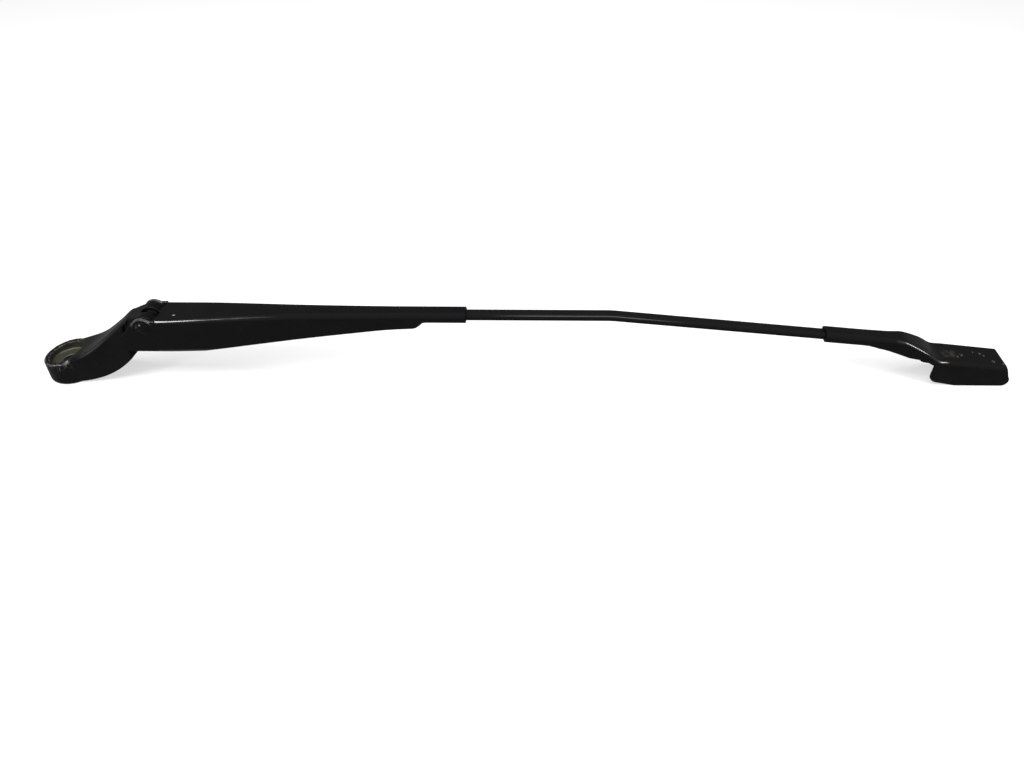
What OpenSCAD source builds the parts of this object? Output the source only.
// Front wiper arm: cast head, sprung hinge, folded channel, flat rod and folded blade connector.
// X runs from the spindle to the tip, Z is up, and the origin is the spindle axis at the boss foot.

/* [Spindle boss] */
// Outer radius of the spindle boss at its rim
boss_r = 13.7; // [13:0.1:14.5]
// Outer radius of the boss at its foot
boss_foot_r = 14.9; // [14.2:0.1:15.5]
// Height of the boss over the spindle axis
boss_h = 15; // [13.5:0.5:17]
// Slope of the boss's top, which rises towards the neck, in degrees
boss_slope = 7.5; // [4:0.5:9]
// Rounding round the foot of the boss
foot_edge = 1.6; // [0.6:0.1:2]
// Radius of the pocket for the spindle nut
pocket_r = 10.7; // [9.8:0.1:11]
// Depth of the nut pocket
pocket_depth = 5.5; // [4:0.1:7]
// Radius of the spindle hole at the foot
bore_r = 5; // [4.6:0.1:5.6]
// Height of the straight land at the foot of the spindle hole
bore_land = 2.5; // [2:0.1:4]
// Radius of the tapered spindle hole where it meets the pocket
bore_top_r = 4.1; // [3.8:0.1:4.4]

/* [Hinge] */
// Distance of the hinge axis from the spindle axis
hinge_x = 61.5; // [58:0.5:66]
// Height of the hinge axis
hinge_z = 41.2; // [40:0.1:45]
// Radius of the hinge pin
pin_r = 3; // [2.6:0.1:3.3]
// Radius of the pin's riveted ends
rivet_r = 4.4; // [3.8:0.1:5]
// Height of the domed rivet ends
rivet_h = 1.3; // [0.8:0.1:1.8]
// Running clearance of the pin in its bushes, on the radius
pin_clearance = 0.05; // [0.02:0.01:0.08]
// Wall of the plastic bushes
bush_wall = 1; // [0.7:0.1:1.2]
// Radius of the bush flanges
bush_flange_r = 5.6; // [5:0.1:6]
// Thickness of the bush flanges
bush_flange_t = 0.8; // [0.5:0.1:1]
// Gap on each face of a bush flange
flange_gap = 0.1; // [0.05:0.01:0.2]
// Highest lift of the arm from its stop, in degrees
lift_max = 60; // [50:1:62]

/* [Head] */
// Radius of the rounded nose round the hinge axis
nose_r = 6.4; // [6:0.1:6.7]
// Radius of the top edges of the neck
neck_edge = 2.8; // [1.5:0.1:3.4]
// Radius of the lower edges of the neck
neck_under_edge = 2.2; // [1:0.1:2.8]
// Height of the neck's top over the hinge axis where the tongue starts
neck_crest = 0.7; // [0:0.1:1.5]
// Depth of the neck's underside below the hinge axis where the tongue starts
neck_drop = 19.6; // [18:0.1:21]
// Length of the neck's end before the hinge axis
neck_setback = 11.5; // [10.5:0.1:13]
// Width of the fork slot that the spring link swings in
fork_slot = 4.6; // [4.2:0.1:5.4]
// Reach of the stop lug past the hinge axis
lug_reach = 12; // [10:0.5:14]
// Height of the stop lug
lug_h = 6; // [4:0.5:7]
// Gap between the stop lug and the channel's roof at rest
stop_gap = 0.3; // [0.25:0.05:0.5]

/* [Arm channel] */
// Thickness of the channel's sheet
sheet_t = 1.6; // [1.3:0.1:1.7]
// Outer width of the channel at the hinge
channel_w = 21.6; // [20.5:0.1:22.5]
// Radius of the ears over the hinge axis
ear_r = 6.6; // [6.5:0.1:7.2]
// Reach of the channel's walls behind the hinge axis
ear_reach = 14.7; // [13.5:0.1:15.5]
// Depth of the ears' back corner below the hinge axis
ear_corner = 5.3; // [4.5:0.1:7]
// Depth of the walls' lower edge below the hinge axis
wall_drop = 17; // [15.5:0.1:18]
// Distance of the roof's back edge past the hinge axis
roof_start = 8; // [7.5:0.1:9]
// Height of the roof's back edge over the hinge axis
roof_rise = 5.2; // [4.6:0.1:5.4]
// Rise of the roof from its back edge to its crown
roof_crown = 2; // [1:0.1:3]
// Length of the roof from its back edge to the end of the crimped neck
roof_len = 182; // [176:1:190]
// Length of the crimped neck
neck_len = 23; // [18:1:28]
// Outer bend radius of the sheet at the hinge
bend_hinge = 2.2; // [2:0.1:2.8]
// Width of the seam under a crimped sleeve
seam = 1.2; // [0.6:0.1:2]
// Gap between a crimped sleeve and the rod
crimp_gap = 0.05; // [0.02:0.01:0.1]

/* [Rod] */
// Width of the flat rod
rod_w = 7.6; // [7:0.1:8.2]
// Thickness of the flat rod
rod_t = 3.8; // [3.4:0.1:4.2]
// Rounding of the rod's long edges
rod_edge = 1.3; // [1:0.1:1.4]
// Distance of the rod's bend from the spindle axis
bend_x = 338; // [320:1:360]
// Downward slope of the rod past its bend, in degrees
rod_slope = 5.7; // [5:0.1:6]
// Inner radius of the rod's bends
rod_bend_r = 60; // [30:5:80]

/* [Spring] */
// Distance of the spring pin from the hinge axis
spring_pin_arm = 10; // [9.5:0.1:10.5]
// Angle of the spring pin below the hinge axis, in degrees from the tip's side
spring_pin_angle = 127; // [122:1:132]
// Radius of the spring pin
spring_pin_r = 2; // [1.8:0.1:2.2]
// Distance of the rod's spring hole past the hinge axis
anchor_reach = 76; // [74:0.5:80]
// Depth of the rod's spring hole below the hinge axis
anchor_drop = 7; // [6:0.1:8]
// Radius of the spring wire
wire_r = 0.9; // [0.8:0.05:1]
// Mean radius of the spring's coil and of its end loops
coil_r = 3.6; // [3.4:0.1:3.8]
// Rise of the coil in one turn
coil_pitch = 2.04; // [2.02:0.02:2.4]
// Radius of the holes that the spring's loops pass through
loop_hole_r = 1.9; // [1.8:0.1:2]
// Thickness of the spring link
link_t = 3.4; // [2.8:0.1:3.4]
// Height of the spring link
link_h = 4.8; // [4.2:0.1:5]
// Length of the spring link between its two holes
link_len = 33; // [31:0.5:35]

/* [Blade connector] */
// Distance from the spindle axis to the connector's sleeve
connector_x = 467; // [460:1:475]
// Length of the connector
connector_len = 118; // [114:1:124]
// Length of the sleeve that is crimped on the rod
sleeve_len = 24; // [20:1:28]
// Length of the blade socket
socket_len = 49.2; // [46:0.2:53]
// Outer width of the blade socket
socket_w = 20.8; // [19.5:0.1:22]
// Height of the socket's top at its back end
socket_h = 18.9; // [17.5:0.1:20]
// Height of the socket's top at its tip
socket_tip_h = 13.7; // [12.5:0.1:14.5]
// Outer bend radius along the socket's top
socket_bend = 2.4; // [2:0.1:2.8]
// Length by which the socket's top stops short of its skirts at the tip
tip_rake = 4.2; // [2:0.1:5]
// Radius of the skirts' lower corner at the tip
skirt_tip_r = 4; // [2:0.5:5]
// Radius of the skirts' lower corner at the back
skirt_back_r = 5; // [3:0.5:5.5]

/* [Hidden] */
$fn = 72;
slack = 1;
hair = 0.01;
press_gap = 0.02;
BLACK = "#1c1c1e";
STEEL = "#9a9b98";
ZINC = "#b7b29c";
PLASTIC = "#26262a";

// Points of the side view are [x, z].
H = [hinge_x, hinge_z];
P = H + polar(spring_pin_arm, -spring_pin_angle);
A = H + [anchor_reach, -anchor_drop];
A_lifted = turned(A, H, lift_max);
line_rest = atan2(A.y - P.y, A.x - P.x);
line_lifted = atan2(A_lifted.y - P.y, A_lifted.x - P.x);

// Widths across the hinge, from the ears inwards.
ear_in = channel_w / 2 - sheet_t;
cheek_out = ear_in - bush_flange_t - 2 * flange_gap;

// The channel's crimped neck follows the rod's section.
sleeve_w = rod_w + 2 * (crimp_gap + sheet_t);
sleeve_h = rod_t + 2 * (crimp_gap + sheet_t);
roof_x = hinge_x + roof_start;
neck_end = roof_x + roof_len;
neck_start = neck_end - neck_len;
roof_top = hinge_z + roof_rise + roof_crown;
rod_z = roof_top - sleeve_h / 2;

// A sleeve bends round the rod's edges, and under it a curved corner and a flat flange close it.
bend_neck = rod_edge + crimp_gap + sheet_t;
curl_len = bend_neck * PI / 2;
flange_len = sleeve_w / 2 - bend_neck - seam / 2;

function polar(r, a) = r * [cos(a), sin(a)];
function turned(p, c, a) = c + [
    (p.x - c.x) * cos(a) - (p.y - c.y) * sin(a),
    (p.x - c.x) * sin(a) + (p.y - c.y) * cos(a)
];

// The point where a line from q passes a hair outside the circle of radius r round c.
function touch(c, r, q, side) =
    c + polar(r + hair, atan2(q.y - c.y, q.x - c.x) + side * acos((r + hair) / norm(q - c)));

// A smooth curve through the pairs [x, value] of a table, flat past its ends.
function smooth(table, x) =
    let (
        last = len(table) - 1,
        at = min(max(x, table[0][0]), table[last][0]),
        i = max([for (k = [0:last - 1]) if (at >= table[k][0]) k]),
        a = table[i],
        b = table[i + 1],
        w = b[0] - a[0],
        u = (at - a[0]) / w,
        rise_a = i == 0 ? 0 : (b[1] - table[i - 1][1]) / (b[0] - table[i - 1][0]),
        rise_b = i + 1 == last ? 0 : (table[i + 2][1] - a[1]) / (table[i + 2][0] - a[0])
    )
    a[1] * (1 - 3 * u ^ 2 + 2 * u ^ 3) + b[1] * (3 * u ^ 2 - 2 * u ^ 3)
        + w * rise_a * (u - 2 * u ^ 2 + u ^ 3) + w * rise_b * (u ^ 3 - u ^ 2);

// Places a side view, drawn as [x, z], across the arm.
module across(width) {
    rotate([90, 0, 0])
        linear_extrude(width, center = true)
            children();
}

// Moves a side view's children into the frame of the spring's line, with its origin on the spring pin.
module on_spring_line() {
    translate([P.x, 0, P.y])
        rotate([0, -line_rest, 0])
            children();
}

// The end face of a section: one polygon, or for a folded sheet a strip of quads along the sheet.
function end_face(n, folded) =
    folded
        ? [for (k = [0:n / 2 - 2]) [k, k + 1, n - 2 - k, n - 1 - k]]
        : [[for (k = [0:n - 1]) k]];

// A skin over a row of closed sections that all have the same number of points.
module loft(sections, folded = false) {
    n = len(sections[0]);
    last = len(sections) - 1;
    sides = [
        for (i = [0:last - 1], k = [0:n - 1])
            let (a = i * n + k, b = i * n + (k + 1) % n)
            each [[a, b, a + n], [b, b + n, a + n]]
    ];
    start_cap = [for (face = end_face(n, folded)) [for (k = [len(face) - 1:-1:0]) face[k]]];
    end_cap = [for (face = end_face(n, folded)) [for (k = face) last * n + k]];
    polyhedron([for (s = sections) each s], concat(sides, start_cap, end_cap));
}

// The points of an arc or line of the given length that starts at p with heading h and turns evenly.
function run(p, h, length, turn, steps) =
    let (bend = abs(turn) < 0.05 ? -0.05 : turn, r = length * 180 / (PI * bend))
    [for (k = [1:steps]) let (a = h + bend * k / steps) [p + r * [sin(a) - sin(h), cos(h) - cos(a)], a]];

// Half of a folded sheet's outer line, from the bend at the roof to the free edge, as [point, heading].
function fold_half(half_w, top, bend_r, wall, curl) =
    let (
        start = [[[half_w - bend_r, top], 0]],
        bend = run(start[0][0], 0, bend_r * PI / 2, -90, 5),
        side = run(bend[4][0], -90, wall, 0, 1),
        fold = run(side[0][0], -90, curl_len, -curl, 4),
        flange = run(fold[3][0], -90 - curl, flange_len, 0, 1)
    )
    concat(start, bend, side, fold, flange);

// One section of a folded sheet at x, as a closed ring of points.
function fold_section(x, half_w, top, bend_r, wall, curl) =
    let (
        half = fold_half(half_w, top, bend_r, wall, curl),
        n = len(half),
        outer = [for (h = half) h[0]],
        inner = [for (h = half) h[0] + sheet_t * [sin(h[1]), -cos(h[1])]]
    )
    concat(
        [for (k = [n - 1:-1:0]) [x, -outer[k].x, outer[k].y]],
        [for (k = [0:n - 1]) [x, outer[k].x, outer[k].y]],
        [for (k = [n - 1:-1:0]) [x, inner[k].x, inner[k].y]],
        [for (k = [0:n - 1]) [x, -inner[k].x, inner[k].y]]
    );

// The flat wall that a sleeve has between its two bends.
function sleeve_wall(bend_r) = sleeve_h - bend_r - bend_neck;

/* Head */
neck_end_x = hinge_x - neck_setback;
neck_shape = [[0, 0], [0.1, 0.07], [0.4, 0.28], [0.6, 0.45], [0.8, 0.7], [1, 1], [1.2, 1.2]];

function neck_section(u) =
    let (
        x = neck_end_x * u,
        half_w = channel_w / 2 + (boss_r - 0.1 - channel_w / 2) * (1 - u) ^ 1.5,
        top = boss_h + (hinge_z + neck_crest - boss_h) * smooth(neck_shape, u) - 0.02,
        under = 0.2 + (hinge_z - neck_drop) * u ^ 2.5,
        corners = [[-1, -1, neck_under_edge], [-1, 1, neck_edge], [1, 1, neck_edge], [1, -1, neck_under_edge]],
        turns = [270, 180, 90, 0]
    )
    [
        for (c = [0:3], k = [0:5])
            let (
                y_side = corners[c][0],
                z_side = corners[c][1],
                r = corners[c][2],
                mid = [y_side * (half_w - r), z_side > 0 ? top - r : under + r]
            )
            let (q = mid + polar(r, turns[c] - 18 * k))
            [x, q.x, q.y]
    ];

// A drafted boss with a rounded foot, cut off by the sloping plane of its rim.
module boss() {
    draft = (boss_foot_r - boss_r) / boss_h;
    blank_h = boss_h + boss_foot_r * tan(boss_slope) + slack;
    edge_mid = [boss_foot_r - foot_edge * (1 + draft), foot_edge];
    edge_end = edge_mid + polar(foot_edge, atan(draft));
    difference() {
        rotate_extrude()
            union() {
                translate(edge_mid)
                    circle(foot_edge);
                polygon([
                    [0, 0], [edge_mid.x, 0], edge_mid, edge_end,
                    [edge_end.x - draft * (blank_h - edge_end.y), blank_h], [0, blank_h]
                ]);
            }
        translate([0, 0, boss_h])
            rotate([0, -boss_slope, 0])
                translate([-2 * boss_foot_r, -2 * boss_foot_r, 0])
                    cube(4 * boss_foot_r);
    }
}

fork_wall = 6.6;
slot_back = 5.2;
lug_top = hinge_z + roof_rise - sheet_t - stop_gap;
lug_end = hinge_x + lug_reach;

module tongue_outline() {
    root_top = [neck_end_x, hinge_z + neck_crest - 0.1];
    root_under = [neck_end_x - 0.5, hinge_z - neck_drop + 0.3];
    lug_under = [lug_end, lug_top - lug_h];
    translate(H)
        circle(nose_r);
    translate(P)
        circle(fork_wall);
    polygon([
        root_top - [4, 3.4], root_top, touch(H, nose_r, root_top, -1), H, [hinge_x, lug_top],
        [lug_end, lug_top], lug_under, touch(P, fork_wall, lug_under, -1), P,
        touch(P, fork_wall, root_under, 1), root_under, root_under - [4, 3.4]
    ]);
}

// The fork slot is the room that the link sweeps between rest and full lift.
module slot_outline() {
    translate(P)
        rotate(line_lifted)
            translate([-slot_back, -60])
                square([80, 60 + slot_back]);
}

// The side reliefs leave room for the channel's ears.
shoulder_gap = 0.8;
ear_back = hinge_x - ear_reach;
ear_knee = [ear_back, hinge_z - ear_corner];
ear_tangent = touch(H, ear_r, ear_knee, -1);
ear_slope = atan2(ear_tangent.y - ear_knee.y, ear_tangent.x - ear_knee.x);

module relief_outline() {
    knee = ear_knee + shoulder_gap * [-1, tan((90 - ear_slope) / 2)];
    polygon([[knee.x, 0], knee, knee + polar(60, ear_slope), [knee.x + 60, 0]]);
}

module head() {
    color(BLACK)
        difference() {
            union() {
                boss();
                loft([for (k = [0:20]) neck_section(k / 20)]);
                across(2 * cheek_out)
                    tongue_outline();
            }
            translate([0, 0, boss_h - pocket_depth])
                cylinder(r = pocket_r, h = boss_h + 30);
            translate([0, 0, -slack])
                cylinder(r = bore_r, h = bore_land + slack);
            translate([0, 0, bore_land])
                cylinder(r1 = bore_r, r2 = bore_top_r, h = boss_h - pocket_depth - bore_land);
            translate([0, 0, boss_h - pocket_depth - slack])
                cylinder(r = bore_top_r, h = 2 * slack);
            across(fork_slot)
                slot_outline();
            across(channel_w)
                translate(H)
                    circle(pin_r + pin_clearance + bush_wall + press_gap);
            across(channel_w)
                translate(P)
                    circle(spring_pin_r + press_gap);
            for (side = [-1, 1])
                translate([0, side * (cheek_out + 5), 0])
                    across(10)
                        relief_outline();
        }
}

/* Hinge */
module bush(side) {
    stem = cheek_out - fork_slot / 2;
    color(PLASTIC)
        translate([hinge_x, side * (cheek_out + flange_gap / 2), hinge_z])
            rotate([side * -90, 0, 0])
                difference() {
                    union() {
                        cylinder(r = bush_flange_r, h = bush_flange_t);
                        translate([0, 0, -stem])
                            cylinder(r = pin_r + pin_clearance + bush_wall, h = stem + slack / 2);
                    }
                    translate([0, 0, -stem - slack])
                        cylinder(r = pin_r + pin_clearance, h = stem + bush_flange_t + 2 * slack);
                }
}

module bush_front() {
    bush(-1);
}

module bush_rear() {
    bush(1);
}

// The rivet's dome is the part of a ball that stands over the ear.
module rivet_end() {
    ball_r = (rivet_r ^ 2 + rivet_h ^ 2) / (2 * rivet_h);
    intersection() {
        translate([0, 0, rivet_h - ball_r])
            sphere(ball_r);
        cylinder(r = rivet_r + slack, h = rivet_h + slack);
    }
}

module hinge_pin() {
    color(STEEL)
        translate([hinge_x, 0, hinge_z])
            rotate([90, 0, 0])
                union() {
                    cylinder(r = pin_r, h = channel_w + slack, center = true);
                    for (side = [-1, 1])
                        rotate([side < 0 ? 180 : 0, 0, 0])
                            translate([0, 0, channel_w / 2 + press_gap])
                                rivet_end();
                }
}

module spring_pin() {
    color(STEEL)
        translate([P.x, 0, P.y])
            rotate([90, 0, 0])
                cylinder(r = spring_pin_r, h = 2 * cheek_out - 0.4, center = true);
}

/* Spring link and spring */
link_hole_r = spring_pin_r + pin_clearance;
link_eye_r = spring_pin_r + 2.4;
hook_gap = 0.6;
hook_wall = 3.8;

module hook_outline() {
    pin_lifted = polar(spring_pin_arm, 180 - spring_pin_angle - line_lifted);
    bow_r = pin_r + hook_gap;
    link_start = spring_pin_arm + bow_r + 0.4;
    circle(link_eye_r);
    intersection() {
        translate(pin_lifted)
            difference() {
                circle(bow_r + hook_wall);
                circle(bow_r);
            }
        translate([-slack, pin_lifted.y - 2 * bow_r - hook_wall])
            square([spring_pin_arm + 3 * bow_r, 2 * bow_r + hook_wall + 1]);
    }
    translate([link_start, -link_h / 2])
        square([link_len - link_start + 1.4, link_h]);
    translate([link_len + 1.4, 0])
        circle(link_h / 2);
}

module spring_hook() {
    color(ZINC)
        on_spring_line()
            difference() {
                across(link_t)
                    hook_outline();
                across(link_t + slack)
                    circle(link_hole_r);
                across(link_t + slack)
                    translate([link_len, 0])
                        circle(loop_hole_r);
            }
}

// The wire runs round the flat loop in the link, along the coil and round the upright loop in the rod.
spring_len = norm(A - P) - link_len;
lead = 2 * coil_r + wire_r;
corner = 1.6;
coil_len = spring_len - 2 * lead;
turns = floor((coil_len / coil_pitch) - 0.25) + 0.25;
steps_per_turn = 12;
loop_open = 40;

function coil_point(t) = [lead + coil_len * t / turns, coil_r * cos(360 * t), -coil_r * sin(360 * t)];
function bow(a, b, c, t) = (1 - t) ^ 2 * a + 2 * t * (1 - t) * b + t ^ 2 * c;

wire_path = concat(
    [for (a = [-loop_open:-15:-270]) [coil_r + coil_r * cos(a), coil_r * sin(a), 0]],
    [for (t = [0:0.2:1]) bow([lead - corner, coil_r, 0], [lead, coil_r, 0], coil_point(0.07), t)],
    [for (k = [2:turns * steps_per_turn - 2]) coil_point(k / steps_per_turn)],
    [
        for (t = [0:0.2:1])
            bow(
                coil_point(turns - 0.07), [lead + coil_len, 0, -coil_r],
                [lead + coil_len + corner, 0, -coil_r], t
            )
    ],
    [
        for (a = [-90:15:180 + loop_open - 15])
            [spring_len - coil_r + coil_r * cos(a), 0, coil_r * sin(a)]
    ]
);

function unit(v) = v / norm(v);
function heading(path, i) = unit(path[min(i + 1, len(path) - 1)] - path[max(i - 1, 0)]);

// The direction across the wire at each point, carried along without twist.
function carried(v, t) = unit(v - (v * t) * t);

module wire(path, r, sides) {
    across_dirs = [
        for (
            i = 0, v = carried([0, 0, 1], heading(path, 0));
            i < len(path);
            i = i + 1, v = carried(v, heading(path, min(i, len(path) - 1)))
        ) v
    ];
    loft([
        for (i = [0:len(path) - 1])
            let (v = across_dirs[i], w = cross(heading(path, i), v))
            [for (k = [sides:-1:1]) path[i] + r * (cos(360 * k / sides) * v + sin(360 * k / sides) * w)]
    ]);
}

module tension_spring() {
    color(STEEL)
        on_spring_line()
            translate([link_len, 0, 0])
                wire(wire_path, wire_r, 7);
}

/* Channel */
roof_shape = [[0, 0], [0.16, 0.38], [0.3, 0.66], [0.45, 0.86], [0.7, 0.98], [0.8, 1], [1, 1]];
waist_shape = [[0, 1], [0.03, 0.99], [0.165, 0.8], [0.29, 0.55], [0.44, 0.26], [0.65, 0.06], [0.8, 0], [1, 0]];
crimp_ramp = 9;

// Lower edge of the walls: level behind the knee, then rising to the crimped neck.
wall_knee = roof_x + 23.5;
wall_low = hinge_z - wall_drop;
wall_high = roof_top - bend_neck - curl_len - flange_len - 0.8;
function wall_under(x) =
    lookup(x, [[wall_knee, wall_low], [neck_start - 24, wall_high - 0.8], [neck_start - crimp_ramp, wall_high]]);

function channel_section(x) =
    let (
        u = (x - roof_x) / roof_len,
        top = roof_top - roof_crown * (1 - smooth(roof_shape, u)),
        half_w = sleeve_w / 2 + (channel_w - sleeve_w) / 2 * max(0, smooth(waist_shape, u)),
        bend_r = bend_hinge + (bend_neck - bend_hinge) * min(1, u / 0.8),
        fold = smooth([[0, 0], [1, 1]], (x - neck_start + crimp_ramp) / crimp_ramp),
        open_wall = top - bend_r - curl_len - flange_len - wall_under(x),
        wall = open_wall * (1 - fold) + sleeve_wall(bend_r) * fold
    )
    fold_section(x, half_w, top, bend_r, wall, 90 * fold);

channel_stations = concat(
    [roof_x, roof_x + 2],
    [for (k = [1:3]) roof_x + 2 + (wall_knee - roof_x - 2) * k / 3],
    [for (k = [1:14]) wall_knee + (neck_start - crimp_ramp - wall_knee) * k / 14],
    [for (k = [1:5]) neck_start - crimp_ramp + crimp_ramp * k / 5],
    [neck_end]
);

module ear_outline() {
    wall_end = roof_x + 1;
    translate(H)
        circle(ear_r);
    polygon([
        ear_knee, ear_tangent, H, H + [ear_r - 2.8, roof_rise],
        [roof_x + hair, hinge_z + roof_rise], [roof_x + hair, hinge_z + roof_rise - bend_hinge],
        [wall_end, hinge_z + roof_rise - bend_hinge - 0.1], [wall_end, wall_low + hair], [ear_back, wall_low + hair]
    ]);
}

module arm_channel() {
    color(BLACK)
        union() {
            loft([for (x = channel_stations) channel_section(x)], folded = true);
            for (side = [-1, 1])
                translate([0, side * (channel_w - sheet_t) / 2, 0])
                    across(sheet_t - 4 * hair)
                        difference() {
                            ear_outline();
                            translate(H)
                                circle(pin_r + press_gap);
                        }
        }
}

/* Rod */
// The rod runs from its holed tail, up to the roof, through the neck and down to the connector.
tail_len = 4.4;
rod_end_x = connector_x + sleeve_len + 9;
function on_slope(x) = rod_z - (x - bend_x) * tan(rod_slope);
rod_path = [
    A - [tail_len, 0], A + [13, 0], [neck_start - crimp_ramp - 3, rod_z],
    [bend_x, rod_z], [rod_end_x, on_slope(rod_end_x)]
];

function turn_of(path, i) = atan2(path[i + 1].y - path[i].y, path[i + 1].x - path[i].x);

// The corner where path turns: how far its arc starts before the corner, and the arc's stations.
function bend_trim(path, r, i) = r * tan(abs(turn_of(path, i) - turn_of(path, i - 1)) / 2);
function bend_stations(path, r, i) =
    let (
        h0 = turn_of(path, i - 1),
        h1 = turn_of(path, i),
        side = h1 > h0 ? 1 : -1,
        centre = path[i] - polar(bend_trim(path, r, i), h0) + polar(r, h0 + side * 90),
        steps = 5
    )
    [for (k = [0:steps]) let (h = h0 + (h1 - h0) * k / steps) [centre - polar(r, h + side * 90), h]];

// The flat bar's section at a station [point, heading], with rounded long edges.
function bar_section(station) =
    [
        for (c = [[-1, -1, 270], [-1, 1, 180], [1, 1, 90], [1, -1, 0]], k = [0:3])
            let (
                q = [c[0] * (rod_w / 2 - rod_edge), c[1] * (rod_t / 2 - rod_edge)] + polar(rod_edge, c[2] - 30 * k),
                p = station[0] + q.y * polar(1, station[1] + 90)
            )
            [p.x, q.x, p.y]
    ];

module bent_bar(path, r) {
    last = len(path) - 1;
    stations = concat(
        [[path[0], turn_of(path, 0)]],
        [for (i = [1:last - 1]) each bend_stations(path, r, i)],
        [[path[last], turn_of(path, last - 1)]]
    );
    loft([for (st = stations) bar_section(st)]);
}

module rod() {
    color(BLACK)
        difference() {
            bent_bar(rod_path, rod_bend_r);
            translate([A.x, 0, A.y])
                cylinder(r = loop_hole_r, h = 2 * rod_t, center = true);
        }
}

/* Blade connector */
connector_end = connector_x + connector_len;
socket_x = connector_end - socket_len;
opening_x = connector_x + sleeve_len;
dip_x = socket_x - 21;
function sleeve_top(x) = on_slope(x) + sleeve_h / 2 / cos(rod_slope);
flare_shape = [[0, 0], [0.3, 0.28], [0.75, 0.86], [1, 1]];

function connector_top(x) =
    x < dip_x ? sleeve_top(x) : smooth(
        [
            [dip_x - 10, sleeve_top(dip_x - 10)], [dip_x, sleeve_top(dip_x)],
            [socket_x - 6, sleeve_top(dip_x) - 6.5], [socket_x + 2, socket_h + 0.4],
            [socket_x + 9, socket_h - 0.5], [connector_end, socket_tip_h],
            [connector_end + 9, socket_tip_h - 1]
        ], x
    );

function connector_section(x) =
    let (
        half_w = sleeve_w / 2 + (socket_w - sleeve_w) / 2 * smooth(flare_shape, (x - opening_x - 14) / 36),
        bend_r = x < opening_x ? bend_neck : max(socket_bend, bend_neck - (x - opening_x) * 0.04),
        curl = 90 * (1 - smooth([[0, 0], [1, 1]], (x - opening_x) / 20)),
        deep = smooth([[0, 0], [1, 1]], (x - opening_x - 6) / 14),
        low = connector_top(x) - bend_r - curl_len - flange_len + 1,
        slant = sleeve_h * (1 / cos(rod_slope) - 1),
        wall = (sleeve_wall(bend_r) + slant) * (1 - deep) + low * deep
    )
    fold_section(x, half_w, connector_top(x), bend_r, wall, curl);

connector_stations = concat(
    [connector_x, opening_x],
    [for (k = [1:5]) opening_x + 4 * k],
    [for (k = [1:12]) opening_x + 20 + (socket_x + 12 - opening_x - 20) * k / 12],
    [connector_end + slack]
);

// Side view of the sheet: the skirts' rounded corners and the rising lower edge behind them.
module connector_outline() {
    back = [socket_x + skirt_back_r, 7.5];
    tip = [connector_end - skirt_tip_r, skirt_tip_r];
    foot = [socket_x + 17, 0];
    translate(back)
        circle(skirt_back_r);
    translate(tip)
        circle(skirt_tip_r);
    polygon([
        [socket_x, back.y], back, touch(back, skirt_back_r, foot, -1), foot, [tip.x, 0], tip,
        [connector_end, tip.y], [connector_end - tip_rake, socket_tip_h], [connector_end - tip_rake, 60],
        [socket_x, 60]
    ]);
    polygon([
        [connector_x - slack, 60], [connector_x - slack, sleeve_top(connector_x) - 12], [opening_x + 6, 25.8],
        [opening_x + 13, 24], [opening_x + 29, 19.3], [socket_x - 7, 18.6], [socket_x + 0.5, 14.9],
        [socket_x + 0.5, 60]
    ]);
}

module blade_connector() {
    color(BLACK)
        intersection() {
            loft([for (x = connector_stations) connector_section(x)], folded = true);
            across(2 * socket_w)
                connector_outline();
        }
}

head();
bush_front();
bush_rear();
hinge_pin();
spring_pin();
spring_hook();
tension_spring();
arm_channel();
rod();
blade_connector();
